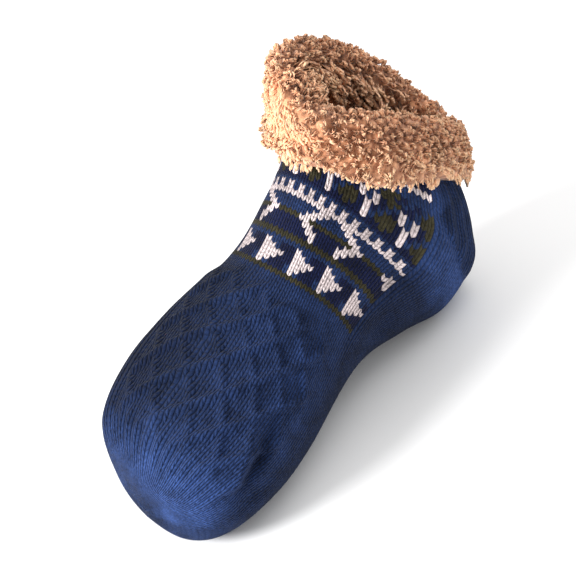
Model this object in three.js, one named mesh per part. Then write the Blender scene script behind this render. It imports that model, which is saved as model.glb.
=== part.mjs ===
// One knitted slipper sock with a turned-down fleece cuff, standing empty on its sole.
// Millimetres. The floor is z = 0, the heel's back is near y = 0 and the toe points to -Y.
import * as THREE from "three";

// Driving sizes of the foot
const footLength = 238;
const toeWidth = 97;
const toeHeight = 51;
const toeShift = 18;
const ballWidth = 108;
const ballHeight = 71;
const waistWidth = 75;
const instepHeight = 110;
const archLift = 12;
const heelWidth = 77;

// Driving sizes of the leg, whose mouth is slack: narrow, and lower at its +X side
const legDepth = 91;
const ankleWidth = 76;
const legFrontHeight = 150;
const legBackHeight = 99;
const mouthWidth = 50;
const mouthDrop = 15;
const mouthRise = 13;

// Wall of the knitting, and how far the floor presses its sole flat
const knitWall = 2.5;
const soleFlattening = 3;
const soleBlend = 2;

// Driving sizes of the cuff: the pile outside, the part turned inside and the lower edge
const pileThickness = 9.5;
const turnThickness = 4;
const turnDepth = 18;
const cuffFront = 24;
const cuffBack = 32;
const cuffSideLift = 2;
const rollRise = 9;
const tuftRelief = 1.2;
const clearance = 0.4;

// Mesh counts
const knitSides = 48;
const coursesPerSpan = 3;
const skirtSteps = 8;
const rollSteps = 6;
const turnSteps = 4;

// Each row is one course of the knitting, from the toe's tip up to the collar.
// front, top: the upper point, as a share of the fore foot ahead of the leg, and its height
// back, low: the lower point, as a share of the foot ahead of the heel, and its height
// width: the full width; shift: the move to +X; drop: how far the +X side hangs lower
const foreLength = footLength - legDepth;
const legRise = legFrontHeight - instepHeight;
const courses = [
  { front: 1, top: 0.46 * toeHeight, back: 1, low: 0.36 * toeHeight,
    width: 0.06 * toeWidth, shift: toeShift, drop: 0, rise: 0 },
  { front: 0.97, top: 0.8 * toeHeight, back: 0.975, low: 0.14 * toeHeight,
    width: 0.59 * toeWidth, shift: toeShift, drop: 0, rise: 0 },
  { front: 0.87, top: 1.045 * toeHeight, back: 0.91, low: 0,
    width: 0.965 * toeWidth, shift: 0.64 * toeShift, drop: 0, rise: 0 },
  { front: 0.68, top: 0.86 * ballHeight, back: 0.8, low: 0,
    width: 1.04 * ballWidth, shift: 0.27 * toeShift, drop: 0, rise: 0 },
  { front: 0.48, top: ballHeight, back: 0.67, low: 0,
    width: ballWidth, shift: 0, drop: 0, rise: 0 },
  { front: 0.24, top: 0.82 * instepHeight, back: 0.44, low: archLift,
    width: 1.07 * waistWidth, shift: 0, drop: 0, rise: 0 },
  { front: 0.09, top: instepHeight, back: 0.27, low: 0.5 * archLift,
    width: waistWidth, shift: 0, drop: 0, rise: 0 },
  { front: 0.024, top: instepHeight + 0.255 * legRise, back: 0.13, low: 0,
    width: heelWidth, shift: 0, drop: 0, rise: 0 },
  { front: 0, top: instepHeight + 0.415 * legRise, back: 0.0125, low: 0.14 * legBackHeight,
    width: 0.98 * heelWidth, shift: 0, drop: 0, rise: 0 },
  { front: -0.013, top: instepHeight + 0.5 * legRise, back: 0, low: 0.36 * legBackHeight,
    width: 0.98 * ankleWidth, shift: 0, drop: 0, rise: 0 },
  { front: -0.021, top: instepHeight + 0.6 * legRise, back: 0.01, low: 0.58 * legBackHeight,
    width: ankleWidth, shift: 0, drop: 0.1 * mouthDrop, rise: 0.1 * mouthRise },
  { front: -0.04, top: instepHeight + 0.78 * legRise, back: 0.015, low: 0.8 * legBackHeight,
    width: 0.5 * (ankleWidth + mouthWidth), shift: 0, drop: 0.5 * mouthDrop, rise: 0.5 * mouthRise },
  { front: -0.042, top: legFrontHeight, back: 0.005, low: legBackHeight,
    width: mouthWidth, shift: 0, drop: mouthDrop, rise: mouthRise },
];
const columns = ["front", "top", "back", "low", "width", "shift", "drop", "rise"];
const lastCourse = courses.length - 1;

// Roundness of a course: 1 is an ellipse, less is boxier
const courseRoundness = 0.88;

// A Catmull-Rom curve through one column, at a place counted in rows from the toe.
function columnAt(column, place) {
  const row = Math.min(Math.max(Math.floor(place), 0), lastCourse - 1);
  const t = place - row;
  const b = courses[row][column];
  const c = courses[row + 1][column];
  const a = row > 0 ? courses[row - 1][column] : 2 * b - c;
  const d = row + 2 <= lastCourse ? courses[row + 2][column] : 2 * c - b;
  const linear = c - a;
  const square = 2 * a - 5 * b + 4 * c - d;
  const cube = 3 * b - a - 3 * c + d;
  return b + 0.5 * t * (linear + t * (square + t * cube));
}

function roundedPower(value) {
  return Math.sign(value) * Math.abs(value) ** courseRoundness;
}

// The floor presses flat whatever would sink below it, with a soft edge round the flat.
function pressedByFloor(height) {
  if (height <= -soleBlend) {
    return 0;
  }
  if (height >= soleBlend) {
    return height;
  }
  return (height + soleBlend) ** 2 / (4 * soleBlend);
}

// A point of the knitting's outer face; the angle is 0 at the front and a quarter turn at +X.
function knitPoint(place, angle) {
  const [front, top, back, low, width, shift, drop, rise] = columns.map((name) => columnAt(name, place));
  const frontY = -legDepth - front * foreLength;
  const backY = -back * footLength;
  const sunkLow = low - soleFlattening;
  const along = roundedPower(Math.cos(angle));
  const across = roundedPower(Math.sin(angle));
  const x = shift + 0.5 * width * across;
  const y = 0.5 * (frontY + backY) + 0.5 * (frontY - backY) * along;
  const sag = rise * across ** 2 - drop * across;
  const z = 0.5 * (top + sunkLow) + 0.5 * (top - sunkLow) * along + sag;
  return new THREE.Vector3(x, y, pressedByFloor(z));
}

// The unit vectors out of the knitting and up along it, at a point of its outer face.
const probeStep = 0.02;
function knitFrame(place, angle) {
  const ahead = knitPoint(place + probeStep, angle);
  const behind = knitPoint(place - probeStep, angle);
  const along = ahead.sub(behind).normalize();
  const around = knitPoint(place, angle + probeStep).sub(knitPoint(place, angle - probeStep));
  const out = around.cross(along).normalize();
  return { out, along };
}

// A point off the knitting's outer face, this far out of it and this far on along it.
function offsetPoint(place, angle, outward, onward = 0) {
  const { out, along } = knitFrame(place, angle);
  return knitPoint(place, angle).addScaledVector(out, outward).addScaledVector(along, onward);
}

// Joins rings of points into one closed skin: the last ring meets the first, or each end is
// closed by a point in its middle.
function closedSkin(rings, isLoop) {
  const sides = rings[0].length;
  const points = rings.flat();
  const triangles = [];
  const bandCount = isLoop ? rings.length : rings.length - 1;
  for (let band = 0; band < bandCount; band += 1) {
    const here = band * sides;
    const there = ((band + 1) % rings.length) * sides;
    for (let side = 0; side < sides; side += 1) {
      const next = (side + 1) % sides;
      const [a, b, c, d] = [here + side, here + next, there + side, there + next];
      if (points[b].distanceTo(points[c]) < points[a].distanceTo(points[d])) {
        triangles.push(a, b, c, b, d, c);
      } else {
        triangles.push(a, b, d, a, d, c);
      }
    }
  }
  if (!isLoop) {
    const firstMiddle = points.length;
    const lastMiddle = firstMiddle + 1;
    const lastRing = (rings.length - 1) * sides;
    points.push(middleOf(rings[0]), middleOf(rings[rings.length - 1]));
    for (let side = 0; side < sides; side += 1) {
      const next = (side + 1) % sides;
      triangles.push(firstMiddle, next, side);
      triangles.push(lastRing + side, lastRing + next, lastMiddle);
    }
  }
  const geometry = new THREE.BufferGeometry();
  geometry.setFromPoints(points);
  geometry.setIndex(triangles);
  geometry.computeVertexNormals();
  return geometry;
}

function middleOf(ring) {
  const sum = ring.reduce((total, point) => total.add(point), new THREE.Vector3());
  return sum.divideScalar(ring.length);
}

function ringOf(sides, pointAt) {
  return Array.from({ length: sides }, (_, side) => pointAt((2 * Math.PI * side) / sides, side));
}

// The sock's body: toe, sole, heel and leg knitted whole, one wall open at the collar.
function knitSock() {
  const courseCount = lastCourse * coursesPerSpan;
  const outerRings = [];
  const innerRings = [];
  for (let course = 0; course <= courseCount; course += 1) {
    const place = course / coursesPerSpan;
    outerRings.push(ringOf(knitSides, (angle) => knitPoint(place, angle)));
    innerRings.push(ringOf(knitSides, (angle) => offsetPoint(place, angle, -knitWall)));
  }
  return closedSkin([...outerRings, ...innerRings.reverse()], false);
}

// The place, in rows, where the knitting has this height at this angle, on the leg.
const firstLegRow = 6;
const halvings = 24;
function placeAtHeight(height, angle) {
  let below = firstLegRow;
  let above = lastCourse;
  for (let step = 0; step < halvings; step += 1) {
    const middle = 0.5 * (below + above);
    if (knitPoint(middle, angle).z < height) {
      below = middle;
    } else {
      above = middle;
    }
  }
  return 0.5 * (below + above);
}

// The cuff: fleece turned over the collar, down outside as a thick skirt and down inside as
// a thinner turn, with tufts standing out of the skirt and the roll.
function fleeceCuff() {
  const innerFace = -knitWall - clearance;
  const turnFace = innerFace - turnThickness;
  const rollCentre = 0.5 * (pileThickness + turnFace);
  const rollRadius = 0.5 * (pileThickness - turnFace);

  const tuftLift = (side, row) => {
    const onTuft = row % 2 === 1 && (side + (row - 1) / 2) % 2 === 0;
    return onTuft ? tuftRelief : -tuftRelief;
  };
  const edgeFront = legFrontHeight - cuffFront;
  const edgeBack = legBackHeight - cuffBack;
  const edgePlace = (angle) => {
    const slope = 0.5 * (edgeFront + edgeBack) + 0.5 * (edgeFront - edgeBack) * Math.cos(angle);
    return placeAtHeight(slope + cuffSideLift * Math.sin(angle) ** 2, angle);
  };
  const turnPlace = (angle) => placeAtHeight(knitPoint(lastCourse, angle).z - turnDepth, angle);

  const rings = [];
  const addRing = (pointAt) => rings.push(ringOf(knitSides, pointAt));
  const mix = (from, to, share) => from + (to - from) * share;

  for (let step = 0; step <= skirtSteps; step += 1) {
    const share = step / skirtSteps;
    const swell = Math.min(0.8 + share, 1);
    addRing((angle, side) => {
      const place = mix(edgePlace(angle), lastCourse, share);
      return offsetPoint(place, angle, pileThickness * swell + tuftLift(side, step));
    });
  }
  for (let step = 1; step < rollSteps; step += 1) {
    const turn = (Math.PI * step) / rollSteps;
    const outward = rollCentre + rollRadius * Math.cos(turn);
    addRing((angle, side) => {
      const rise = rollRise * Math.sin(turn) + tuftLift(side, step) * Math.sin(turn);
      return offsetPoint(lastCourse, angle, outward, rise);
    });
  }
  for (let step = 0; step <= turnSteps; step += 1) {
    addRing((angle) => offsetPoint(mix(lastCourse, turnPlace(angle), step / turnSteps), angle, turnFace));
  }
  for (let step = 0; step <= turnSteps; step += 1) {
    addRing((angle) => offsetPoint(mix(turnPlace(angle), lastCourse, step / turnSteps), angle, innerFace));
  }
  addRing((angle) => offsetPoint(lastCourse, angle, innerFace, clearance));
  addRing((angle) => offsetPoint(lastCourse, angle, clearance, clearance));
  for (let step = skirtSteps; step >= 0; step -= 1) {
    addRing((angle) => {
      const place = mix(edgePlace(angle), lastCourse, step / skirtSteps);
      return offsetPoint(place, angle, clearance);
    });
  }
  return closedSkin(rings, true);
}

function namedMesh(name, geometry, color, roughness) {
  const material = new THREE.MeshStandardMaterial({ color, roughness, metalness: 0 });
  const mesh = new THREE.Mesh(geometry, material);
  mesh.name = name;
  return mesh;
}

const knitBlue = 0x33466b;
const fleeceTan = 0xc9946c;
const knitRoughness = 0.9;
const fleeceRoughness = 0.95;

const group = new THREE.Group();
group.add(namedMesh("knit_sock", knitSock(), knitBlue, knitRoughness));
group.add(namedMesh("fleece_cuff", fleeceCuff(), fleeceTan, fleeceRoughness));

// The origin lies on the floor, under the middle of the sock.
const box = new THREE.Box3().setFromObject(group);
group.position.set(-0.5 * (box.min.x + box.max.x), -0.5 * (box.min.y + box.max.y), -box.min.z);

export default group;
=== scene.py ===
"""A knitted slipper sock with a turned fleece cuff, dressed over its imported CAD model."""
import math

import bpy
import numpy as np
from mathutils import Matrix, Vector, noise


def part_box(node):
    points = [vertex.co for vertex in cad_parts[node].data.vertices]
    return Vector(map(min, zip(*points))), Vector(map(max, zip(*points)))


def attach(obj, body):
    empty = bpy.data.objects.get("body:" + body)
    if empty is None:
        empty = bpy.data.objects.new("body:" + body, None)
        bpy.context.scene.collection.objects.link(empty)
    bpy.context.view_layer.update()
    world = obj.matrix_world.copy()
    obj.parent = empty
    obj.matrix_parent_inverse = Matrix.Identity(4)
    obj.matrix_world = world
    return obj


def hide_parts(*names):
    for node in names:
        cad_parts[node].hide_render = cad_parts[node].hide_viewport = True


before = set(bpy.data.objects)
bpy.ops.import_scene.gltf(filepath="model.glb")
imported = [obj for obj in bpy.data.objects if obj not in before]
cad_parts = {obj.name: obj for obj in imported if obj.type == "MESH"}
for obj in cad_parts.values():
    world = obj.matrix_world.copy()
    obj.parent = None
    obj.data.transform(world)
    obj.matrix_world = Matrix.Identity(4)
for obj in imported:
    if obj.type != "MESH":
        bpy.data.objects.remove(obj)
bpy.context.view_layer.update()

bl_info = {
    "name": "Slipper sock",
    "version": (1, 0, 0),
    "blender": (4, 5, 0),
    "location": "View3D > Sidebar > Sock",
    "description": "Knits one slipper sock and its fleece cuff over the packed solids",
    "category": "Object",
}

SEED = 7
SAME_POINT = 1e-6

# The band's chart from the toe upwards. Each row repeats round the front half, and above the
# last row all is heather blue.
# b heather blue, n navy, w white, o olive.
BAND_CHART = [
    "o",
    "wbnnnb",
    "wwnnnb",
    "wwwnnn",
    "wwwwnn",
    "wwbnnn",
    "wbbnnn",
    "b",
    "o",
    "nnnwnnnnwnnnnnnn",
    "nnwwnnnnwwnnnnnn",
    "nwwnnnnnnwwnnnnn",
    "wwoooooooowwoooo",
    "bwwbbbbbbwwbbbbb",
    "bbwwbbbbwwbbbbbb",
    "bbbwwbbwwbbbbbbb",
    "w",
    "wb",
    "wb",
    "b",
    "n",
    "wnnonn",
    "wbooon",
    "wnboon",
    "bwnbnw",
    "bwnobw",
    "nbooon",
    "nboonb",
    "bnboon",
    "b",
    "b",
    "w",
    "n",
    "n",
]
LONG_REPEAT = 16
LONG_REPEAT_START = 24
SHORT_REPEAT_START = 38


def length(name, text, default):
    return bpy.props.FloatProperty(
        name=name, description=text, default=default,
        unit="LENGTH", subtype="DISTANCE", precision=4,
    )


def colour(name, text, red, green, blue):
    return bpy.props.FloatVectorProperty(
        name=name, description=text, default=linear(red, green, blue),
        size=3, subtype="COLOR", min=0, max=1,
    )


def share(name, text, default, low=0.0, high=1.0):
    return bpy.props.FloatProperty(name=name, description=text, default=default, min=low, max=high)


def number(name, text, default):
    return bpy.props.FloatProperty(name=name, description=text, default=default)


def camera_angle(name, text, degrees):
    return bpy.props.FloatProperty(
        name=name, description=text, default=math.radians(degrees), subtype="ANGLE"
    )


def count(name, text, default):
    return bpy.props.IntProperty(name=name, description=text, default=default, min=1)


def linear(*levels):
    """The linear colour of three 8-bit levels."""
    shares = [level / 255 for level in levels]
    return tuple(v / 12.92 if v <= 0.04045 else ((v + 0.055) / 1.055) ** 2.4 for v in shares)


class SockForm(bpy.types.PropertyGroup):
    """The sock's measures, as the CAD source has them."""

    foot_length: length("Foot length", "From the toe's tip to the back of the heel", 0.238)
    toe_width: length("Toe width", "Across the toes", 0.097)
    toe_height: length("Toe height", "Of the toe above the floor", 0.051)
    toe_shift: length("Toe shift", "Of the toe's tip to the side", 0.018)
    ball_width: length("Ball width", "Across the ball of the foot", 0.108)
    ball_height: length("Ball height", "Of the ball of the foot", 0.071)
    waist_width: length("Waist width", "Across the arch", 0.075)
    instep_height: length("Instep height", "Of the instep above the floor", 0.110)
    arch_lift: length("Arch lift", "Of the sole under the arch", 0.012)
    heel_width: length("Heel width", "Across the heel", 0.077)
    leg_depth: length("Leg depth", "From the front of the leg to the heel", 0.091)
    ankle_width: length("Ankle width", "Across the ankle", 0.076)
    leg_front_height: length("Leg height in front", "Of the collar in front", 0.150)
    leg_back_height: length("Leg height behind", "Of the collar behind", 0.099)
    mouth_width: length("Mouth width", "Across the collar", 0.050)
    mouth_drop: length("Mouth drop", "Of the collar on the near side", 0.015)
    mouth_rise: length("Mouth rise", "Of the collar at both sides", 0.013)
    knit_wall: length("Knit wall", "Thickness of the knitting", 0.0025)
    sole_flattening: length("Sole flattening", "What the floor presses flat", 0.003)
    sole_blend: length("Sole blend", "Softness of the flat's edge", 0.002)
    pile_thickness: length("Pile thickness", "Of the fleece outside the leg", 0.0095)
    turn_thickness: length("Turn thickness", "Of the fleece inside the leg", 0.004)
    turn_depth: length("Turn depth", "Of the fleece down inside the leg", 0.018)
    cuff_front: length("Cuff in front", "Drop of the cuff's edge in front", 0.024)
    cuff_back: length("Cuff behind", "Drop of the cuff's edge behind", 0.032)
    cuff_side_lift: length("Cuff side lift", "Rise of the cuff's edge at the sides", 0.002)
    roll_rise: length("Roll rise", "Of the fleece over the collar", 0.009)
    clearance: length("Clearance", "Between the fleece and the knitting", 0.0004)
    roundness: share("Roundness", "Of a section's corners, 1 is an ellipse", 0.88)


class KnitLook(bpy.types.PropertyGroup):
    """The knitting's stitches, relief and yarns."""

    wales: count("Stitches round", "Stitches round the sock", 84)
    foot_courses: count("Foot courses", "Courses from the toe to the band", 52)
    course_height: length("Course height", "Height of one course on the leg", 0.003)
    lattice_relief: length("Lattice relief", "Height of the lattice on the foot", 0.0026)
    rib_relief: length("Rib relief", "Height of the ribs on the foot", 0.0021)
    crease_depth: length("Crease depth", "Depth of the crease beside the toe", 0.0042)
    seam_depth: length("Seam depth", "Depth of the side line and the heel's seam", 0.0012)
    waist_depth: length("Waist depth", "Depth of the hollow under the instep", 0.0025)
    stitch_relief: length("Stitch relief", "Height of a stitch's arms", 0.0011)
    blue: colour("Heather blue", "Main yarn", 27, 42, 76)
    navy: colour("Navy", "Dark yarn of the band", 15, 21, 50)
    white: colour("White", "Light yarn of the band", 198, 184, 184)
    olive: colour("Olive", "Stripe yarn of the band", 46, 43, 29)
    # Painted shade on the sides and sole, with some darker yarn there.
    sole_shade_and_tone: share("Sole tone", "Depth of colour on the sides and sole", 0.56)
    leg_tone: share("Leg tone", "Depth of colour on the back of the leg", 0.85)
    flecks: share("Flecks", "Strength of the yarn's light and dark flecks", 0.75)


class FleeceLook(bpy.types.PropertyGroup):
    """The cuff's curls and the lining."""

    tuft_tries: count("Tuft tries", "Places tried for tufts on each side of the roll", 18000)
    strands: count("Strands", "Strands in a tuft", 9)
    tuft_room: length("Tuft room", "Between neighbouring tufts", 0.00326)
    curl_height: length("Curl height", "Of a tuft above the pile", 0.003)
    curl_length: length("Curl length", "Of a combed strand", 0.006)
    strand_radius: length("Strand radius", "Of one strand", 0.00078)
    root_depth: length("Root depth", "Of a strand's root below the pile's face", 0.0009)
    mouth_fill: share("Mouth fill", "Added length of the pile inside the mouth", 2.5, 0.0, 4.0)
    lump_height: length("Lump height", "Of the pile's lumps", 0.0026)
    lining_thickness: length("Lining thickness", "Of the plush inside the foot", 0.003)
    # Painted light on the tips of the pile.
    light: colour("Light fleece", "Tips of the pile", 255, 206, 160)
    middle: colour("Fleece", "Most of the pile", 250, 184, 138)
    # Painted shade at the roots of the pile, in the creases between tufts.
    dark: colour("Dark fleece", "Roots of the pile", 142, 84, 52)


class StageLook(bpy.types.PropertyGroup):
    """The camera, the lights and the floor."""

    azimuth: camera_angle("Azimuth", "Camera's turn", 55.5)
    elevation: camera_angle("Elevation", "Camera's height", 36)
    roll: camera_angle("Roll", "Camera's tilt", 13.95)
    distance: length("Distance", "From the camera to the sock", 0.64)
    lens: number("Lens", "Focal length in millimetres", 80)
    key_power: number("Key light", "Watts of the main light", 14.0)
    key_size: length("Key size", "Across the main light", 0.35)
    fill_power: number("Fill light", "Watts of the soft light", 3.0)
    fill_size: length("Fill size", "Across the soft light", 0.9)
    world_strength: number("Surroundings", "Strength of the white surroundings", 0.88)
    floor: colour("Floor", "Colour of the floor", 244, 244, 244)


# A place runs from 0 at the toe to 12 at the collar, and an angle goes round the sock.
LAST_PLACE = 12
LEG_START = 6.0
STEP = 0.02


def course_rows(form):
    """The rows from the toe to the collar: front, top, back, low, width, shift, drop, rise."""
    rise = form.leg_front_height - form.instep_height
    toe_w, toe_h, toe_s = form.toe_width, form.toe_height, form.toe_shift
    ball_w, ball_h = form.ball_width, form.ball_height
    instep, back_h = form.instep_height, form.leg_back_height
    heel_w, ankle_w = form.heel_width, form.ankle_width
    drop, lift = form.mouth_drop, form.mouth_rise
    between = 0.5 * (form.ankle_width + form.mouth_width)
    return np.array([
        (1, 0.46 * toe_h, 1, 0.36 * toe_h, 0.06 * toe_w, toe_s, 0, 0),
        (0.97, 0.8 * toe_h, 0.975, 0.14 * toe_h, 0.59 * toe_w, toe_s, 0, 0),
        (0.87, 1.045 * toe_h, 0.91, 0, 0.965 * toe_w, 0.64 * toe_s, 0, 0),
        (0.68, 0.86 * ball_h, 0.8, 0, 1.04 * ball_w, 0.27 * toe_s, 0, 0),
        (0.48, ball_h, 0.67, 0, ball_w, 0, 0, 0),
        (0.24, 0.82 * instep, 0.44, form.arch_lift, 1.07 * form.waist_width, 0, 0, 0),
        (0.09, instep, 0.27, 0.5 * form.arch_lift, form.waist_width, 0, 0, 0),
        (0.024, instep + 0.255 * rise, 0.13, 0, heel_w, 0, 0, 0),
        (0, instep + 0.415 * rise, 0.0125, 0.14 * back_h, 0.98 * heel_w, 0, 0, 0),
        (-0.013, instep + 0.5 * rise, 0, 0.36 * back_h, 0.98 * ankle_w, 0, 0, 0),
        (-0.021, instep + 0.6 * rise, 0.01, 0.58 * back_h, ankle_w, 0, 0.1 * drop, 0.1 * lift),
        (-0.04, instep + 0.78 * rise, 0.015, 0.8 * back_h, between, 0, 0.5 * drop, 0.5 * lift),
        (-0.042, form.leg_front_height, 0.005, back_h, form.mouth_width, 0, drop, lift),
    ])


def at_place(rows, place):
    """The rows' values at each place, smoothly between the rows."""
    row = np.clip(np.floor(place).astype(int), 0, LAST_PLACE - 1)
    t = (place - row)[:, None]
    longer = np.vstack([2 * rows[0] - rows[1], rows, 2 * rows[-1] - rows[-2]])
    a, b, c, d = longer[row], longer[row + 1], longer[row + 2], longer[row + 3]
    return b + 0.5 * t * ((c - a) + t * ((2 * a - 5 * b + 4 * c - d) + t * (3 * b - a - 3 * c + d)))


def knit_point(form, place, angle):
    """Points of the knitting's outer face; the angle is 0 in front and a quarter turn at +X."""
    place, angle = np.broadcast_arrays(np.asarray(place, float), np.asarray(angle, float))
    flat = at_place(course_rows(form), place.ravel()).T.reshape(8, *place.shape)
    front, top, back, low, width, shift, drop, rise = flat
    front_y = -form.leg_depth - front * (form.foot_length - form.leg_depth)
    back_y = -back * form.foot_length
    sunk = low - form.sole_flattening
    along = np.sign(np.cos(angle)) * np.abs(np.cos(angle)) ** form.roundness
    across = np.sign(np.sin(angle)) * np.abs(np.sin(angle)) ** form.roundness
    x = shift + 0.5 * width * across
    y = 0.5 * (front_y + back_y) + 0.5 * (front_y - back_y) * along
    z = 0.5 * (top + sunk) + 0.5 * (top - sunk) * along + rise * across**2 - drop * across
    blend = form.sole_blend
    z = np.where(z <= -blend, 0, np.where(z >= blend, z, (z + blend) ** 2 / (4 * blend)))
    return np.stack([x, y, z], axis=-1)


def unit(vectors):
    """The same directions, each one long; a vector of no length stays so."""
    return vectors / np.maximum(np.linalg.norm(vectors, axis=-1, keepdims=True), 1e-12)


def off_knit(form, place, angle, outward, onward=0.0):
    """Points this far out of the knitting's outer face, and this far on along it."""
    along = unit(knit_point(form, place + STEP, angle) - knit_point(form, place - STEP, angle))
    around = knit_point(form, place, angle + STEP) - knit_point(form, place, angle - STEP)
    out = unit(np.cross(around, along))
    outward, onward = np.asarray(outward)[..., None], np.asarray(onward)[..., None]
    return knit_point(form, place, angle) + out * outward + along * onward


def frame_shift(form):
    """What moves the shape's own coordinates on to the CAD model's."""
    sides, spans = 48, 36
    angle = np.linspace(0, 2 * np.pi, sides, endpoint=False)[None, :]
    place = np.linspace(0, LAST_PLACE, spans + 1)[:, None]
    own = knit_point(form, place, angle).reshape(-1, 3)
    low, high = (np.array(corner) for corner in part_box("knit_sock"))
    shift = 0.5 * (low + high) - 0.5 * (own.min(0) + own.max(0))
    shift[2] = 0
    return shift


def place_at_height(form, height, angle):
    """The place on the leg where the knitting has this height at this angle."""
    halvings = 24
    below = np.full(np.shape(angle), LEG_START)
    above = np.full(np.shape(angle), float(LAST_PLACE))
    for _ in range(halvings):
        middle = 0.5 * (below + above)
        is_low = knit_point(form, middle, angle)[..., 2] < height
        below, above = np.where(is_low, middle, below), np.where(is_low, above, middle)
    return 0.5 * (below + above)


def path_lengths(form, angles, places):
    """The distance along the knitting from the toe to each place, one row for each angle."""
    points = knit_point(form, places[None, :], angles[:, None])
    steps = np.linalg.norm(np.diff(points, axis=1), axis=2)
    return np.hstack([np.zeros((len(angles), 1)), np.cumsum(steps, axis=1)])


def hump(value, middle, half_width):
    """1 at the middle, falling smoothly to 0 at about twice the half width."""
    return np.exp(-(((value - middle) / half_width) ** 2))


def ramp(value, start, end):
    """0 before the start, 1 after the end and smooth between them."""
    t = np.clip((value - start) / (end - start), 0, 1)
    return t * t * (3 - 2 * t)


def deselect():
    bpy.ops.object.select_all(action="DESELECT")


def choose(piece):
    """Makes this the one piece that the next operators work on."""
    deselect()
    bpy.context.view_layer.objects.active = piece
    piece.select_set(True)


def rolled_grid(name, around, along):
    """A flat grid ready to be rolled into a tube, with each vertex's step round it and along it."""
    deselect()
    bpy.ops.mesh.primitive_grid_add(
        x_subdivisions=around, y_subdivisions=along, size=2, calc_uvs=True
    )
    piece = bpy.context.object
    piece.name = piece.data.name = name
    flat = np.empty(len(piece.data.vertices) * 3)
    piece.data.vertices.foreach_get("co", flat)
    flat = flat.reshape(-1, 3)
    side = np.rint((flat[:, 0] + 1) / 2 * around).astype(int)
    row = np.rint((flat[:, 1] + 1) / 2 * along).astype(int)
    return piece, side, row


def loop_vertices(mesh):
    found = np.empty(len(mesh.loops), int)
    mesh.loops.foreach_get("vertex_index", found)
    return found


def put_vertices(piece, points):
    piece.data.vertices.foreach_set("co", np.asarray(points, float).ravel())
    piece.data.update()


def close_tube(piece, ends=()):
    """Sews the grid's two sides together and draws each named end ring to a point."""
    choose(piece)
    for ring in ends:
        middle = np.mean([piece.data.vertices[i].co for i in ring], axis=0)
        for i in ring:
            piece.data.vertices[i].co = middle
    bpy.ops.object.mode_set(mode="EDIT")
    bpy.ops.mesh.select_all(action="SELECT")
    bpy.ops.mesh.remove_doubles(threshold=SAME_POINT)
    bpy.ops.mesh.normals_make_consistent(inside=False)
    bpy.ops.object.mode_set(mode="OBJECT")


def thicken(piece, thickness):
    """Gives the piece its wall, inwards from its face."""
    choose(piece)
    wall = piece.modifiers.new("wall", "SOLIDIFY")
    wall.thickness = thickness
    wall.offset = -1
    bpy.ops.object.modifier_apply(modifier=wall.name)


def finish_piece(piece, material, node=None):
    """Smooths, paints and attaches to the root body a piece that has its place in its mesh."""
    choose(piece)
    bpy.ops.object.shade_smooth()
    piece.data.materials.clear()
    piece.data.materials.append(material)
    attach(piece, "root")
    if node:
        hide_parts(node)


def add_attribute(mesh, name, values, kind="FLOAT", domain="POINT"):
    made = mesh.attributes.new(name, kind, domain)
    field = "color" if kind == "FLOAT_COLOR" else "value"
    made.data.foreach_set(field, np.asarray(values, np.float32).ravel())


def set_inputs(tree, node, inputs):
    """Give a node's inputs their values, or link them to the sockets of other nodes."""
    for key, value in inputs.items():
        if isinstance(value, bpy.types.NodeSocket):
            tree.links.new(value, node.inputs[key])
        else:
            node.inputs[key].default_value = value


def add_node(tree, kind, label, at, inputs=None, **settings):
    made = tree.nodes.new(kind)
    made.label = label
    made.location = at
    for key, value in settings.items():
        setattr(made, key, value)
    set_inputs(tree, made, inputs or {})
    return made


def attribute_node(tree, label, at, name):
    return add_node(tree, "ShaderNodeAttribute", label, at, attribute_name=name)


def maths(tree, operation, label, at, first, second=0.0, third=None):
    """A sum of up to three numbers or sockets; the third is what a product is added to."""
    given = {0: first, 1: second}
    if third is not None:
        given[2] = third
    return add_node(tree, "ShaderNodeMath", label, at, given, operation=operation).outputs[0]


def new_group(name, inputs, outputs):
    """An empty node group with its named sockets."""
    tree = bpy.data.node_groups.new(name, "ShaderNodeTree")
    for socket, kind, default in inputs:
        made = tree.interface.new_socket(socket, in_out="INPUT", socket_type=kind)
        if default is not None:
            made.default_value = default
    for socket, kind in outputs:
        tree.interface.new_socket(socket, in_out="OUTPUT", socket_type=kind)
    return tree, tree.nodes.new("NodeGroupInput"), tree.nodes.new("NodeGroupOutput")


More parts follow.
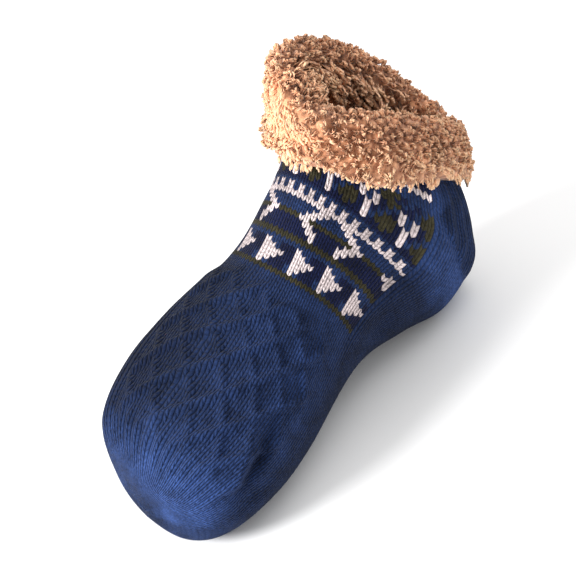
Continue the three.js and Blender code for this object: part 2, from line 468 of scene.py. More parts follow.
def stitch_group():
    """Rows of knit stitches: each is a V whose arms rise from the middle of its column."""
    tree, given, out = new_group(
        "Knit stitches",
        [("Stitches", "NodeSocketVector", None), ("Slant", "NodeSocketFloat", 0.55)],
        [("Height", "NodeSocketFloat"), ("Row below", "NodeSocketFloat")],
    )
    given.location, out.location = (-1200, 0), (900, 0)
    parts = add_node(
        tree, "ShaderNodeSeparateXYZ", "Column and row", (-1000, 0), {0: given.outputs["Stitches"]}
    )
    column = maths(tree, "FRACT", "In the column", (-800, 100), parts.outputs["X"])
    doubled = maths(tree, "MULTIPLY_ADD", "From the middle", (-620, 100), column, 2.0, -1.0)
    side = maths(tree, "ABSOLUTE", "Either arm", (-440, 100), doubled)
    row = maths(tree, "FRACT", "In the row", (-800, -120), parts.outputs["Y"])
    rise = maths(tree, "MULTIPLY", "Arm's rise", (-440, -40), side, given.outputs["Slant"])
    raw = maths(tree, "SUBTRACT", "Above the arm's foot", (-260, -120), row, rise)
    below = maths(tree, "LESS_THAN", "Row below", (-80, -200), raw, 0.0)
    up = maths(tree, "ADD", "Up the stitch", (100, -120), raw, below)
    across = maths(tree, "MULTIPLY", "Half turn", (-260, 140), side, math.pi)
    arm = maths(tree, "SINE", "Arm's round", (-80, 140), across)
    soft = maths(tree, "POWER", "Full arm", (100, 140), arm, 0.55)
    onward = maths(tree, "MULTIPLY", "Half turn up", (270, -60), up, math.pi)
    crown = maths(tree, "SINE", "Stitch's round", (440, -60), onward)
    body = maths(tree, "MULTIPLY_ADD", "Stitch's height", (600, -60), crown, 0.5, 0.5)
    height = maths(tree, "MULTIPLY", "Height", (750, 60), soft, body)
    set_inputs(tree, out, {"Height": height, "Row below": below})
    return tree


def fibre_group():
    """Flecks of lighter and darker fibre, and their fuzz as a height."""
    tree, given, out = new_group(
        "Fibre flecks",
        [
            ("Color", "NodeSocketColor", (0.5, 0.5, 0.5, 1)),
            ("Position", "NodeSocketVector", None),
            ("Fleck scale", "NodeSocketFloat", 700.0),
            ("Patch scale", "NodeSocketFloat", 60.0),
            ("Strength", "NodeSocketFloat", 0.5),
        ],
        [("Color", "NodeSocketColor"), ("Height", "NodeSocketFloat")],
    )
    given.location, out.location = (-900, 0), (700, 0)
    kinds = (("Fleck", 160, 3.0, 0.7), ("Patch", -160, 4.0, 0.6))
    fleck, patch = (
        add_node(tree, "ShaderNodeTexNoise", kind, (-650, height), {
            "Vector": given.outputs["Position"], "Scale": given.outputs[kind + " scale"],
            "Detail": detail, "Roughness": roughness,
        })
        for kind, height, detail, roughness in kinds
    )
    both = maths(tree, "ADD", "Both", (-430, 0), fleck.outputs["Fac"], patch.outputs["Fac"])
    swing = maths(tree, "SUBTRACT", "Either way", (-270, 0), both, 1.0)
    scaled = maths(tree, "MULTIPLY", "Strength", (-110, 0), swing, given.outputs["Strength"])
    value = maths(tree, "MULTIPLY_ADD", "Value", (50, 0), scaled, 2.6, 1.0)
    shade = add_node(
        tree, "ShaderNodeHueSaturation", "Flecked", (300, 60),
        {"Value": value, "Color": given.outputs["Color"]},
    )
    set_inputs(tree, out, {"Color": shade.outputs[0], "Height": fleck.outputs["Fac"]})
    return tree


def new_material(name):
    """A material with its node tree and its main shader."""
    material = bpy.data.materials.new(name)
    material.use_nodes = True
    tree = material.node_tree
    shader = tree.nodes["Principled BSDF"]
    shader.location = (900, 0)
    tree.nodes["Material Output"].location = (1200, 0)
    return material, tree, shader


def use_group(tree, name, builder, label, at, inputs):
    group = bpy.data.node_groups.get(name) or builder()
    return add_node(tree, "ShaderNodeGroup", label, at, inputs, node_tree=group)


def knit_material(look):
    """Stockinette yarns: the colour of each stitch, with its painted light and shade, comes from
    the mesh, its V from the UV map; the grooves between its arms get painted shade.
    """
    material, tree, shader = new_material("heather_knit")
    rows = add_node(tree, "ShaderNodeUVMap", "Stitch rows", (-1100, 200), uv_map="stitches")
    own = attribute_node(tree, "Yarn", (-700, 420), "yarn")
    below = attribute_node(tree, "Yarn below", (-700, 240), "yarn_below")
    place = add_node(tree, "ShaderNodeTexCoord", "Place", (-700, -300))
    stitch = use_group(
        tree, "Knit stitches", stitch_group, "Stitches", (-900, 60),
        {"Stitches": rows.outputs["UV"], "Slant": 0.55},
    )
    yarn = add_node(
        tree, "ShaderNodeMix", "Stitch colour", (-420, 300),
        {"Factor": stitch.outputs["Row below"], 6: own.outputs["Color"], 7: below.outputs["Color"]},
        data_type="RGBA",
    )
    flecks = use_group(
        tree, "Fibre flecks", fibre_group, "Heather", (-180, 200),
        {
            "Color": yarn.outputs[2], "Position": place.outputs["Object"],
            "Fleck scale": 900.0, "Patch scale": 110.0, "Strength": look.flecks,
        },
    )
    groove = add_node(
        tree, "ShaderNodeMapRange", "Groove shade", (-180, -60),
        {
            "Value": stitch.outputs["Height"],
            "From Min": 0.0, "From Max": 0.75, "To Min": 0.35, "To Max": 1.08,
        },
    )
    shaded = add_node(
        tree, "ShaderNodeHueSaturation", "Shaded grooves", (80, 160),
        {"Value": groove.outputs["Result"], "Color": flecks.outputs["Color"]},
    )
    fuzz = maths(
        tree, "MULTIPLY_ADD", "Stitch and fuzz", (80, -200),
        flecks.outputs["Height"], 0.25, stitch.outputs["Height"],
    )
    bump = add_node(
        tree, "ShaderNodeBump", "Stitch bump", (300, -200),
        {"Height": fuzz, "Strength": 1.0, "Distance": look.stitch_relief},
    )
    set_inputs(tree, shader, {
        "Base Color": shaded.outputs[0], "Normal": bump.outputs["Normal"], "Roughness": 0.9,
        "Specular IOR Level": 0.08, "Sheen Weight": 0.03, "Sheen Roughness": 0.5,
    })
    return material


def fleece_material(look):
    """Sherpa fleece: painted shade at the roots, painted light at the tips, fine fibre over both.
    """
    material, tree, shader = new_material("camel_fleece")
    depth = attribute_node(tree, "Pile depth", (-900, 200), "pile")
    place = add_node(tree, "ShaderNodeTexCoord", "Place", (-900, -200))
    ramp_node = add_node(
        tree, "ShaderNodeValToRGB", "Root to tip", (-640, 200), {"Fac": depth.outputs["Fac"]}
    )
    # The ramp paints shade at the roots and light at the tips, following the pile attribute, which
    # holds painted shade.
    stops = ramp_node.color_ramp.elements
    stops[0].position, stops[0].color = 0.05, (*look.dark, 1)
    stops[1].position, stops[1].color = 0.95, (*look.light, 1)
    middle = stops.new(0.5)
    middle.color = (*look.middle, 1)
    flecks = use_group(
        tree, "Fibre flecks", fibre_group, "Fibres", (-300, 150),
        {
            "Color": ramp_node.outputs["Color"], "Position": place.outputs["Object"],
            "Fleck scale": 1500.0, "Patch scale": 70.0, "Strength": 0.34,
        },
    )
    bump = add_node(
        tree, "ShaderNodeBump", "Fibre bump", (100, -200),
        {"Height": flecks.outputs["Height"], "Strength": 0.8, "Distance": 0.0008},
    )
    set_inputs(tree, shader, {
        "Base Color": flecks.outputs["Color"], "Normal": bump.outputs["Normal"], "Roughness": 0.95,
        "Specular IOR Level": 0.15, "Sheen Weight": 0.35, "Sheen Roughness": 0.6,
    })
    return material


# The chart's rows that have a set place on the sock, and where the foot's courses end at the side.
BAND_ROWS = (0, 8, 16, 22, 28, 31, 38)
LAST_FOOT_PLACE = 5.02


def band_places(angle):
    """The place of each of the band's marked rows, level with the side line behind it."""
    front = np.minimum(np.abs(angle), 0.5 * np.pi)
    side = np.sin(front) ** 2
    middle = 1 - side
    return (
        4.85 + 0.17 * side,
        5.36 + 0.22 * side,
        6.14 + 0.32 * side**2,
        7.03 + 0 * side,
        8.2 + 1.5 * middle,
        9.22 + np.minimum(4 * middle, 2.6 * middle + 0.05),
        LAST_PLACE + 0 * side,
    )


def knit_places(form, look, angle, row):
    """The place of each mesh row, two to a course, so that the courses follow the band's rows."""
    fine = np.linspace(0, LAST_PLACE, 40 * LAST_PLACE + 1)
    side_path = path_lengths(form, np.array([0.5 * np.pi]), fine)[0]
    foot_rows = 2 * look.foot_courses
    band_path = np.interp(LAST_FOOT_PLACE, fine, side_path)
    foot = np.interp(np.clip(row / foot_rows, 0, 1) * band_path, side_path, fine)
    anchors = band_places(angle)
    course = (row - foot_rows) / 2
    place = foot * anchors[0] / LAST_FOOT_PLACE
    for k in range(len(BAND_ROWS) - 1):
        low, high = BAND_ROWS[k], BAND_ROWS[k + 1]
        part = np.clip((course - low) / (high - low), 0, 1)
        place = np.where(course > low, anchors[k] + (anchors[k + 1] - anchors[k]) * part, place)
    return place


def chart_yarn(course, wale):
    """The letter of the band's yarn at a course of the chart and a stitch of the front half."""
    if not 0 <= course < len(BAND_CHART):
        return "b"
    text = BAND_CHART[course]
    start = LONG_REPEAT_START if len(text) == LONG_REPEAT else SHORT_REPEAT_START
    return text[(wale - start) % len(text)]


def heel_seam_turn(place):
    """The heel's seam in degrees, from the side line's top down and back round the heel."""
    side_turn, swing, top_place, span = 95, 22, 8.6, 0.9
    return side_turn + swing * np.clip((top_place - place) / span, 0, 2) ** 2


def crease_turn(place):
    """The angle in degrees of the soft crease on the near side of the toe."""
    upper_turn, swing, upper_place, span = 63, 15, 3.25, 0.85
    return upper_turn + swing * np.clip((upper_place - place) / span, 0, 1)


# The knitting's features lie between places along the sock and between turns round it, in degrees
# from the front. Each pair is where a feature starts to change and where it is done.
TOE_PLACES = (1.7, 2.5)
TIP_PLACES = (0.9, 2.1)
FOOT_END_PLACES = (4.55, 4.8)
FAR_EDGE_TURNS = (-42, -30)
UNDER_EDGE_TURNS = (-110, -96)
NEAR_EDGE_TURNS = (70, 80)
SIDE_LINE_STARTS = (4.7, 5.2)
SIDE_LINE_ENDS = (9.6, 10.4)
GORE_STARTS = (7.5, 7.7)
GORE_ENDS = (9.2, 9.6)
LEG_RIB_PLACES = (7.6, 7.8)
LEG_RIB_TURNS = (1, 6)

# Painted light and shade on the yarn change between these, and the back of the leg turns darker
# between its own pair.
SOLE_SHADE_AND_TONE_TURNS = (78, 96)
SOLE_SHADE_AND_TONE_ENDS = (6.2, 7.2)
LEG_TONE_TURNS = (0, 3)
TOE_LIGHT_PLACES = (0.9, 2.9)
NEAR_LIGHT_TURNS = (35, 70)
FAR_SHADE_TURNS = (-32, 26)
FAR_SHADE_ENDS = (4.6, 5.2)
HEEL_LIGHT_PLACES = (6.4, 7.4)
HEEL_LIGHT_TURNS = (84, 94)
UNDER_LIGHT_TURNS = (98, 122)

# Each of these is the middle and half width of a feature.
CREASE_PLACE = (2.8, 0.5)
DIMPLE_PLACE = (2.5, 0.3)
DIMPLE_TURN = (88, 9)
SIDE_LINE_TURN = (90, 2.6)
WAIST_PLACE = (5.6, 0.35)
WAIST_TURN = (108, 14)

# The lattice's lines are this many stitches apart and lean this many stitches to a course.
LATTICE_PITCH = 5.6
LATTICE_LEAN = 0.62


def lattice_height(stitch, course):
    """Two sets of leaning ridges, one over the other, with soft pillows between them."""
    over_width, under_width, under_share = 0.75, 0.7, 0.75
    ridge_share, pillow_share = 1.25, 0.35
    first = (stitch + LATTICE_LEAN * course) / LATTICE_PITCH
    second = (stitch - LATTICE_LEAN * course) / LATTICE_PITCH
    first_line = np.abs(first - np.rint(first)) * LATTICE_PITCH
    second_line = np.abs(second - np.rint(second)) * LATTICE_PITCH
    under = under_share * hump(first_line, 0, under_width)
    ridge = np.maximum(hump(second_line, 0, over_width), under)
    pillow = np.sqrt(np.abs(np.sin(np.pi * first) * np.sin(np.pi * second)))
    return ridge_share * ridge + pillow_share * pillow


def knit_relief(look, place, angle, row):
    """How far the knitting stands out of its plain shape: ribs, lattice, creases and seams."""
    turn = np.degrees(angle)
    stitch = angle / (2 * np.pi) * look.wales
    toe = 1 - ramp(place, *TOE_PLACES)
    end = 1 - ramp(place, *FOOT_END_PLACES)
    above_sole = ramp(turn, *UNDER_EDGE_TURNS)
    far = (1 - ramp(turn, *FAR_EDGE_TURNS)) * above_sole
    near = ramp(turn, *NEAR_EDGE_TURNS)
    rib_share = np.maximum(far, toe * (1 - near) * above_sole) * end * ramp(place, *TIP_PLACES)
    rib_fullness = 0.8
    ribs = look.rib_relief * (0.5 + 0.5 * np.cos(np.pi * stitch)) ** rib_fullness * rib_share
    lattice_share = ramp(turn, *FAR_EDGE_TURNS) * (1 - near) * (1 - toe) * end
    lattice = look.lattice_relief * lattice_height(stitch, row / 2) * lattice_share

    crease_width, dimple_share = 5.5, 0.6
    lip_share, lip_offset, lip_width = 0.5, 13, 7
    deep = look.crease_depth
    reach = hump(place, *CREASE_PLACE)
    crease = -deep * hump(turn, crease_turn(place), crease_width) * reach
    lip = lip_share * deep * hump(turn, crease_turn(place) - lip_offset, lip_width) * reach
    dimple = -dimple_share * deep * hump(turn, *DIMPLE_TURN) * hump(place, *DIMPLE_PLACE)

    gore_width, leg_rib_share, leg_rib_stitches = 3.0, 0.4, 3
    side = -look.seam_depth * hump(np.abs(turn), *SIDE_LINE_TURN) * ramp(place, *SIDE_LINE_STARTS)
    side = side * (1 - ramp(place, *SIDE_LINE_ENDS))
    behind = np.abs(turn) - heel_seam_turn(place)
    gore = -look.seam_depth * hump(behind, 0, gore_width) * ramp(place, *GORE_STARTS)
    gore = gore * (1 - ramp(place, *GORE_ENDS))
    wales = leg_rib_share * look.rib_relief * np.cos(2 * np.pi * stitch / leg_rib_stitches)
    wales = wales * ramp(behind, *LEG_RIB_TURNS) * ramp(place, *LEG_RIB_PLACES)
    waist = -look.waist_depth * hump(place, *WAIST_PLACE) * hump(turn, *WAIST_TURN)
    return ribs + lattice + crease + lip + dimple + side + gore + wales + waist


def knit_painted_light(look, place, angle):
    """Painted light and shade on the yarn at each point, as a factor on its own colour, as in the
    photographed sock: painted light on the toe, the heel, low round the heel and the near side;
    painted shade in the toe's crease and on the far side; painted shade, with some darker yarn, on
    the sides and sole; and a darker back of the leg.
    """
    turn = np.degrees(np.abs(angle))
    signed = np.degrees(angle)
    crease_shade, far_shade, far_shade_on_toe = 0.5, 0.62, 0.6
    toe_light, heel_light, near_light, under_light = 1.5, 0.7, 0.3, 0.4
    crease_width = 7
    sole = ramp(turn, *SOLE_SHADE_AND_TONE_TURNS) * (1 - ramp(place, *SOLE_SHADE_AND_TONE_ENDS))
    leg = ramp(turn - heel_seam_turn(place), *LEG_TONE_TURNS) * ramp(place, *GORE_STARTS)
    crease = hump(signed, crease_turn(place), crease_width) * hump(place, *CREASE_PLACE)
    toe = 1 - ramp(place, *TOE_LIGHT_PLACES)
    near = ramp(signed, *NEAR_LIGHT_TURNS)
    heel = ramp(place, *HEEL_LIGHT_PLACES) * ramp(turn, *HEEL_LIGHT_TURNS) * (1 - leg)
    under = heel * ramp(turn, *UNDER_LIGHT_TURNS)
    far = ramp(-signed, *FAR_SHADE_TURNS) * (1 - far_shade_on_toe * toe) * (1 - sole)
    far = far * (1 - ramp(place, *FAR_SHADE_ENDS))
    tone = (1 - (1 - look.sole_shade_and_tone) * sole) * (1 - crease_shade * crease)
    tone = tone * (1 - (1 - look.leg_tone) * leg) * (1 + toe_light * toe) * (1 - far_shade * far)
    return tone * (1 + heel_light * heel) * (1 + near_light * near) * (1 + under_light * under)


def make_knitting(form, look):
    """The whole knitting, with each stitch's place in its UV map and its yarns, with painted light
    and shade, as face colours.
    """
    around = 2 * look.wales
    courses = look.foot_courses + BAND_ROWS[-1]
    along = 2 * courses
    piece, side, row = rolled_grid("knit_body", around, along)
    mesh = piece.data
    angle = -np.pi + 2 * np.pi * side / around
    place = knit_places(form, look, angle, row)
    out = knit_relief(look, place, angle, row)
    points = off_knit(form, np.maximum(place, STEP), angle, out)
    points[:, 2] = np.maximum(points[:, 2], 0)

    corner = loop_vertices(mesh)
    faces = len(mesh.polygons)
    corner_side = side[corner].reshape(faces, 4)
    corner_row = row[corner].reshape(faces, 4)
    face_side = corner_side.min(axis=1)
    face_row = corner_row.min(axis=1)
    is_front = (face_side >= around // 4) & (face_side < 3 * around // 4)
    is_band = face_row >= 2 * look.foot_courses

    fine = np.linspace(0, LAST_PLACE, 20 * LAST_PLACE + 1)
    angles = -np.pi + 2 * np.pi * np.arange(around + 1) / around
    paths = path_lengths(form, angles, fine)
    here = np.array([np.interp(p, fine, paths[s]) for p, s in zip(place, side)])
    start = np.array([np.interp(LAST_FOOT_PLACE, fine, paths[s]) for s in range(around + 1)])[side]
    plain_course = look.foot_courses + (here - start) / look.course_height
    by_path = (is_band & ~is_front)[:, None]
    stitches = np.empty((faces, 4, 2))
    stitches[..., 0] = corner_side / 2
    stitches[..., 1] = np.where(by_path, plain_course[corner].reshape(faces, 4), corner_row / 2)
    mesh.uv_layers.active.name = "stitches"
    mesh.uv_layers.active.data.foreach_set("uv", stitches.ravel())

    yarns = {"b": look.blue, "n": look.navy, "w": look.white, "o": look.olive}
    # Painted light and shade, multiplied into the colour of each yarn.
    tone = knit_painted_light(look, place, angle)[corner].reshape(faces, 4, 1)
    for name, step in (("yarn", 0), ("yarn_below", 1)):
        shown = np.empty((faces, 4, 4))
        shown[..., 3] = 1
        for face in range(faces):
            letter = "b"
            if is_front[face] and is_band[face]:
                course = (face_row[face] - 2 * look.foot_courses) // 2 - step
                letter = chart_yarn(course, (face_side[face] - around // 4) // 2)
            shown[face, :, :3] = yarns[letter]
        shown[..., :3] *= tone
        add_attribute(mesh, name, shown, "FLOAT_COLOR", "CORNER")

    put_vertices(piece, points + frame_shift(form))
    close_tube(piece, [np.flatnonzero(row == 0)])
    thicken(piece, form.knit_wall)
    return piece


def cuff_edges(form, angle):
    """The places of the cuff's lower edge outside and of its turned edge inside."""
    edge_front = form.leg_front_height - form.cuff_front
    edge_back = form.leg_back_height - form.cuff_back
    slope = 0.5 * (edge_front + edge_back) + 0.5 * (edge_front - edge_back) * np.cos(angle)
    edge = place_at_height(form, slope + form.cuff_side_lift * np.sin(angle) ** 2, angle)
    collar = knit_point(form, np.full(np.shape(angle), float(LAST_PLACE)), angle)[..., 2]
    turn = place_at_height(form, collar - form.turn_depth, angle)
    return edge, turn


def cuff_point(form, way, angle, lift=0.0):
    """Points of the cuff: way 0 to 1 up the skirt, to 2 over the roll, to 3 down inside."""
    way, angle = np.broadcast_arrays(np.asarray(way, float), np.asarray(angle, float))
    edge, turn = cuff_edges(form, angle)
    face = -form.knit_wall - form.clearance - form.turn_thickness
    centre = 0.5 * (form.pile_thickness + face)
    radius = 0.5 * (form.pile_thickness - face)
    skirt = np.clip(way, 0, 1)
    roll = np.clip(way - 1, 0, 1) * np.pi
    down = np.clip(way - 2, 0, 1)
    top = float(LAST_PLACE)
    place = np.where(way <= 2, top, top + (turn - top) * down)
    place = np.where(way <= 1, edge + (top - edge) * skirt, place)
    edge_share = 0.8
    swell = form.pile_thickness * np.minimum(edge_share + skirt, 1)
    outward = np.where(way <= 1, swell + lift, centre + (radius + lift) * np.cos(roll))
    outward = np.where(way > 2, face - lift, outward)
    onward = np.where((way > 1) & (way < 2), (form.roll_rise + lift) * np.sin(roll), 0.0)
    return off_knit(form, place, angle, outward, onward)


# Ways on the cuff where a feature starts to change and where it is done.
SMOOTH_STARTS = (0.35, 0.7)
SMOOTH_ENDS = (1.25, 1.5)
FRINGE_WAYS = (0.02, 0.34)
MOUTH_WAYS = (1.5, 2.2)
# Painted light on the skirt fades out between these.
SKIRT_LIGHT_WAYS = (0.1, 0.8)
SMOOTH_TURN = (-8, 26)
ROLL_TOP = 1.5
LUMP_SIZE = 0.0054
LUMP_MIDDLE = 0.7


def smooth_zone(way, angle):
    """Where the pile is pressed smooth: the far side of the front, up to the roll."""
    turn = np.degrees((angle + np.pi) % (2 * np.pi) - np.pi)
    return hump(turn, *SMOOTH_TURN) * ramp(way, *SMOOTH_STARTS) * (1 - ramp(way, *SMOOTH_ENDS))


def lumps(points, size):
    """Rounded lumps from 0 in the creases to 1 on top, at each point."""
    steepness, least, unevenness, coarseness = 1.6, 0.75, 0.25, 0.4
    found = np.empty(len(points))
    for k, point in enumerate(points):
        spot = Vector(point / size)
        near, far = noise.voronoi(spot, distance_metric="DISTANCE")[0][:2]
        found[k] = min(1.0, steepness * (far - near))
        found[k] *= least + unevenness * noise.noise(spot * coarseness)
    return found


def make_fleece(form, look):
    """The cuff's pile, turned over the collar, and its hidden side against the knitting."""
    around = 180
    skirt_rows, roll_rows, turn_rows, back_rows = 22, 14, 12, 8
    pressed_share, pressed_pile = 0.75, 0.55
    outside = skirt_rows + roll_rows + turn_rows
    along = outside + back_rows
    piece, side, row = rolled_grid("fleece_cuff_pile", around, along)
    angle = 2 * np.pi * (side % around) / around
    way = np.interp(row, [0, skirt_rows, skirt_rows + roll_rows, outside], [0, 1, 2, 3])
    pressed = smooth_zone(way, angle)
    pile = lumps(cuff_point(form, way, angle), LUMP_SIZE)
    pile = pile * (1 - pressed_share * pressed) + pressed_pile * pressed
    lift = look.lump_height * (pile - LUMP_MIDDLE)
    points = cuff_point(form, way, angle, np.where(row <= outside, lift, 0))

    # The hidden rows go up inside the leg, over the collar and down, close to the knitting.
    edge, turn = cuff_edges(form, angle)
    first_row, collar_row, over_row, last_row = 1, 3, 5, 7
    back = row - outside
    top = float(LAST_PLACE)
    climb = (back - first_row) / (collar_row - first_row)
    fall = np.clip(back - over_row, 0, last_row - over_row) / (last_row - over_row)
    place = np.select(
        [back <= first_row, back <= collar_row, back <= over_row],
        [turn, turn + (top - turn) * climb, np.full(len(back), top)],
        top + (edge - top) * fall,
    )
    is_inside = back <= collar_row + 1
    is_over = (back > collar_row) & (back <= over_row)
    outward = np.where(is_inside, -form.knit_wall - form.clearance, form.clearance)
    onward = np.where(is_over, form.clearance, 0.0)
    hidden_points = off_knit(form, place, angle, outward, onward)
    points = np.where((back > 0)[:, None], hidden_points, points)
    first_ring = {s: k for k, s in zip(np.flatnonzero(row == 0), side[row == 0])}
    points[row == along] = points[[first_ring[s] for s in side[row == along]]]
    root_shade, pile_shade, hidden_shade = 0.05, 0.6, 0.1
    shade = np.where(row <= outside, root_shade + pile_shade * pile, hidden_shade)
    add_attribute(piece.data, "pile", shade)
    put_vertices(piece, points + frame_shift(form))
    close_tube(piece)
    return piece


def strand_template():
    """One strand's tube: three sides and six rings, drawn to a point at both ends."""
    sides, spans = 3, 5
    piece, side, row = rolled_grid("strand", sides, spans)
    angle = 2 * np.pi * side / sides
    put_vertices(piece, np.stack([np.cos(angle), np.sin(angle), row / spans], axis=-1))
    close_tube(piece, [np.flatnonzero(row == 0), np.flatnonzero(row == spans)])
    shape = np.array([vertex.co for vertex in piece.data.vertices])
    faces = [list(face.vertices) for face in piece.data.polygons]
    bpy.data.objects.remove(piece)
    return shape, faces


def spread_tufts(form, look, low, high, rng):
    """Even places for tufts between two ways on the cuff, each with its own room."""
    way = rng.uniform(low, high, look.tuft_tries)
    angle = rng.uniform(-np.pi, np.pi, look.tuft_tries)
    spots = cuff_point(form, way, angle)
    room = look.tuft_room
    cells = {}
    chosen = []
    for k, key in enumerate(map(tuple, np.floor(spots / room).astype(int))):
        near = [
            other
            for x in (-1, 0, 1) for y in (-1, 0, 1) for z in (-1, 0, 1)
            for other in cells.get((key[0] + x, key[1] + y, key[2] + z), ())
        ]
        if all(np.sum((spots[k] - spots[other]) ** 2) > room**2 for other in near):
            cells.setdefault(key, []).append(k)
            chosen.append(k)
    return way[chosen], angle[chosen]


def strand_points(form, look, shape, way, angle, rng):
    """Every strand's points and their painted light and shade. Strands wind up round the middle of
    their tuft.
    """
    number = len(way)
    tufts = number // look.strands

    def per_tuft(values):
        return np.repeat(values, look.strands)

    step = 0.01
    base = cuff_point(form, way, angle)
    up = unit(cuff_point(form, way + step, angle) - cuff_point(form, way - step, angle))
    side = unit(cuff_point(form, way, angle + step) - base)
    out = unit(np.cross(side, up))

    pressed_share, pressed_pile = 0.8, 0.6
    pressed = smooth_zone(way, angle)
    pile = lumps(base, LUMP_SIZE) * (1 - pressed_share * pressed) + pressed_pile * pressed
    base = base + out * (look.lump_height * (pile - LUMP_MIDDLE))[:, None]
    fringe = 1 - ramp(way, *FRINGE_WAYS)
    inside = ramp(way, *MOUTH_WAYS)
    combed_if_pressed = 0.9
    combed = np.maximum(fringe, combed_if_pressed * pressed)

    # The draws come in a set order, because each one moves all that follow it.
    tuft_share, less_twist, less_height = 0.68, 0.8, 0.65
    size = per_tuft(rng.uniform(0.75, 1.3, tufts))
    lean = per_tuft(rng.uniform(-np.pi, np.pi, tufts))
    twist = per_tuft(rng.choice((-1.0, 1.0), tufts) * rng.uniform(0.9, 2.2, tufts))
    twist = twist * (1 - less_twist * combed) * (1 + inside)
    start = rng.uniform(-np.pi, np.pi, number)
    wide = look.tuft_room * tuft_share * size * rng.uniform(0.55, 1.15, number)
    high_up = look.curl_height * size * rng.uniform(0.7, 1.2, number)
    high_up = high_up * (1 - less_height * combed) * (1 + look.mouth_fill * inside)
    slide = look.curl_length * rng.uniform(0.7, 1.2, number)
    downward = -0.5 * np.pi + rng.normal(0, 0.3, number)
    thick = look.strand_radius * rng.uniform(0.75, 1.25, number)
    tone = per_tuft(rng.normal(0, 0.07, tufts)) + rng.normal(0, 0.05, number)

    curled_drift, combed_drift = 0.22, 0.36
    more_room_inside, narrowing, curl_over = 0.6, 0.85, 0.7
    drift_turn = lean * (1 - combed) + downward * combed
    drift = side * np.cos(drift_turn)[:, None] + up * np.sin(drift_turn)[:, None]
    drift = drift * (slide * (curled_drift + combed_drift * combed))[:, None]
    t = shape[:, 2][None, :]
    spin = start[:, None] + twist[:, None] * t
    spread = (wide * (1 + more_room_inside * inside))[:, None]
    spread = spread * (1 - narrowing * t * (1 - combed[:, None]))
    rise = high_up[:, None] * np.sin(curl_over * np.pi * t) - look.root_depth
    line = (
        base[:, None, :]
        + side[:, None, :] * (spread * np.cos(spin))[..., None]
        + up[:, None, :] * (spread * np.sin(spin))[..., None]
        + out[:, None, :] * rise[..., None]
        + drift[:, None, :] * (t * np.ones_like(spin))[..., None]
    )
    girth = thick[:, None] * (0.6 + 0.4 * np.sin(np.pi * t))
    girth = girth * np.minimum(1, 5 * np.minimum(t + 0.03, 1.03 - t))
    across = side * -np.sin(start)[:, None] + up * np.cos(start)[:, None]
    across = unit(np.cross(out, across))
    points = line + across[:, None, :] * (shape[:, 0][None, :] * girth)[..., None]
    points = points + out[:, None, :] * (shape[:, 1][None, :] * girth)[..., None]

    # Painted light and shade: lighter on the skirt, inside the mouth, on the lumps' tops, towards
    # each strand's tip and on its outer side; darker at the roots and in the creases. The random
    # tone is the fleece's own.
    skirt = 1 - ramp(way, *SKIRT_LIGHT_WAYS)
    bright = 0.09 + 0.36 * skirt + 0.16 * inside + 0.7 * (pile - 0.72)
    shade = 0.3 + 0.56 * np.clip(1.3 * t, 0, 1) + 0.12 * np.clip(shape[:, 1][None, :], -1, 1)
    shade = shade + (tone + bright)[:, None] * (1 - 0.4 * t)
    return points.reshape(-1, 3), np.clip(shade, 0, 1)


def make_curls(form, look, name, low, high, seed):
    """The curly tufts between two ways on the cuff, as one mesh of copied strands."""
    shape, faces = strand_template()
    rng = np.random.default_rng(seed)
    way, angle = spread_tufts(form, look, low, high, rng)
    way, angle = np.repeat(way, look.strands), np.repeat(angle, look.strands)
    points, shade = strand_points(form, look, shape, way, angle, rng)
    joined = [
        tuple(vertex + first for vertex in face)
        for first in range(0, len(points), len(shape))
        for face in faces
    ]
    mesh = bpy.data.meshes.new(name)
    mesh.from_pydata((points + frame_shift(form)).tolist(), [], joined)
    mesh.update()
    add_attribute(mesh, "pile", shade)
    piece = bpy.data.objects.new(name, mesh)
    bpy.context.scene.collection.objects.link(piece)
    return piece


def make_lining(form, look):
    """The plush inside the foot and leg, from behind the toe to the cuff's turned edge."""
    around, along = 72, 60
    first_place, edge_gap, lump_size = 3.6, 0.02, 0.005
    root_shade, pile_shade = 0.25, 0.6
    piece, side, row = rolled_grid("fleece_lining", around, along)
    angle = 2 * np.pi * (side % around) / around
    _, turn = cuff_edges(form, angle)
    place = first_place + (turn - edge_gap - first_place) * row / along
    pile = lumps(knit_point(form, place, angle), lump_size)
    inward = -form.knit_wall - form.clearance
    add_attribute(piece.data, "pile", root_shade + pile_shade * pile)
    put_vertices(piece, off_knit(form, place, angle, inward) + frame_shift(form))
    close_tube(piece, [np.flatnonzero(row == 0)])
    thicken(piece, look.lining_thickness)
    return piece


class SOCK_OT_knitting(bpy.types.Operator):
    """Knit the foot, heel and leg in one piece"""

    bl_idname = "sock.knitting"
    bl_label = "Knitting"

    def execute(self, context):
        look = context.scene.sock_knit
        piece = make_knitting(context.scene.sock_form, look)
        finish_piece(piece, knit_material(look), "knit_sock")
        return {"FINISHED"}


class SOCK_OT_fleece(bpy.types.Operator):
    """Turn the fleece cuff over the collar and cover it with curls"""

    bl_idname = "sock.fleece"
    bl_label = "Fleece cuff"

    def execute(self, context):
        form, look = context.scene.sock_form, context.scene.sock_fleece
        material = fleece_material(look)
        cuff = make_fleece(form, look)
        finish_piece(cuff, material, "fleece_cuff")
        outer = make_curls(form, look, "fleece_curls_outside", 0.0, ROLL_TOP, SEED)
        finish_piece(outer, material)
        inner = make_curls(form, look, "fleece_curls_inside", ROLL_TOP, 3.0, SEED + 1)
        finish_piece(inner, material)
        return {"FINISHED"}


class SOCK_OT_lining(bpy.types.Operator):
    """Line the foot and leg with plush"""

    bl_idname = "sock.lining"
    bl_label = "Lining"

    def execute(self, context):
        form, look = context.scene.sock_form, context.scene.sock_fleece
        lining = make_lining(form, look)
        finish_piece(lining, bpy.data.materials["camel_fleece"])
        return {"FINISHED"}


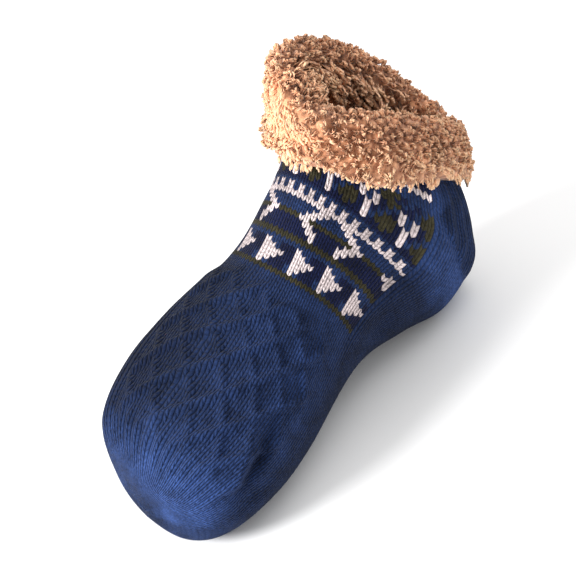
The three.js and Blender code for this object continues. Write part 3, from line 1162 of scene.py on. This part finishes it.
class SOCK_OT_stage(bpy.types.Operator):
    """Set the floor, the lights and the camera"""

    bl_idname = "sock.stage"
    bl_label = "Stage"

    def execute(self, context):
        look = context.scene.sock_stage
        deselect()
        bpy.ops.mesh.primitive_plane_add(size=6)
        floor = context.object
        floor.name = "floor"
        material, tree, shader = new_material("pale_floor")
        set_inputs(tree, shader, {"Base Color": (*look.floor, 1), "Roughness": 0.9})
        floor.data.materials.append(material)

        world = bpy.data.worlds.new("studio")
        world.use_nodes = True
        background = world.node_tree.nodes["Background"]
        background.inputs["Color"].default_value = (1, 1, 1, 1)
        background.inputs["Strength"].default_value = look.world_strength
        context.scene.world = world
        context.scene.view_settings.view_transform = "Standard"

        back = Vector((
            math.sin(look.azimuth) * math.cos(look.elevation),
            -math.cos(look.azimuth) * math.cos(look.elevation),
            math.sin(look.elevation),
        ))
        level = Vector((math.cos(look.azimuth), math.sin(look.azimuth), 0))
        upright = back.cross(level).normalized()
        right = level * math.cos(look.roll) - upright * math.sin(look.roll)
        up = level * math.sin(look.roll) + upright * math.cos(look.roll)
        instep = Vector((0, -0.110, 0.070)) + Vector(frame_shift(context.scene.sock_form))
        off_right, off_up = 0.0034, 0.0081
        middle = instep - right * off_right - up * off_up

        bpy.ops.object.camera_add()
        camera = context.object
        camera.name = "camera"
        camera.data.lens = look.lens
        camera.data.sensor_width = 36
        turned = Matrix((right, up, back)).transposed().to_4x4()
        turned.translation = middle + back * look.distance
        camera.matrix_world = turned
        context.scene.camera = camera

        key_spot = middle + Vector((-0.16, -0.86, 0.4))
        fill_spot = middle + (up * 0.9 + right * 0.2 + back * 0.4)
        lamps = (
            ("key_light", key_spot, look.key_size, look.key_power),
            ("fill_light", fill_spot, look.fill_size, look.fill_power),
        )
        for name, spot, size, power in lamps:
            bpy.ops.object.light_add(type="AREA", location=spot)
            lamp = context.object
            lamp.name = name
            lamp.data.shape = "DISK"
            lamp.data.size = size
            lamp.data.energy = power
            lamp.rotation_euler = (spot - middle).to_track_quat("Z", "Y").to_euler()
        return {"FINISHED"}


class SOCK_PT_panel(bpy.types.Panel):
    """The sock's pieces, in the order they are made"""

    bl_idname = "SOCK_PT_panel"
    bl_label = "Slipper sock"
    bl_space_type = "VIEW_3D"
    bl_region_type = "UI"
    bl_category = "Sock"

    def draw(self, context):
        for operator in OPERATORS:
            self.layout.operator(operator.bl_idname)
        for group, group_name in GROUPS.items():
            box = self.layout.box()
            settings = getattr(context.scene, group_name)
            for name in group.__annotations__:
                box.prop(settings, name)


OPERATORS = (SOCK_OT_knitting, SOCK_OT_fleece, SOCK_OT_lining, SOCK_OT_stage)
GROUPS = {
    SockForm: "sock_form",
    KnitLook: "sock_knit",
    FleeceLook: "sock_fleece",
    StageLook: "sock_stage",
}


def register():
    for group, name in GROUPS.items():
        bpy.utils.register_class(group)
        setattr(bpy.types.Scene, name, bpy.props.PointerProperty(type=group))
    for kind in (*OPERATORS, SOCK_PT_panel):
        bpy.utils.register_class(kind)


def unregister():
    for kind in (SOCK_PT_panel, *reversed(OPERATORS)):
        bpy.utils.unregister_class(kind)
    for group, name in GROUPS.items():
        delattr(bpy.types.Scene, name)
        bpy.utils.unregister_class(group)


def main():
    register()
    bpy.ops.sock.knitting()
    bpy.ops.sock.fleece()
    bpy.ops.sock.lining()
    bpy.ops.sock.stage()


if __name__ == "__main__":
    main()
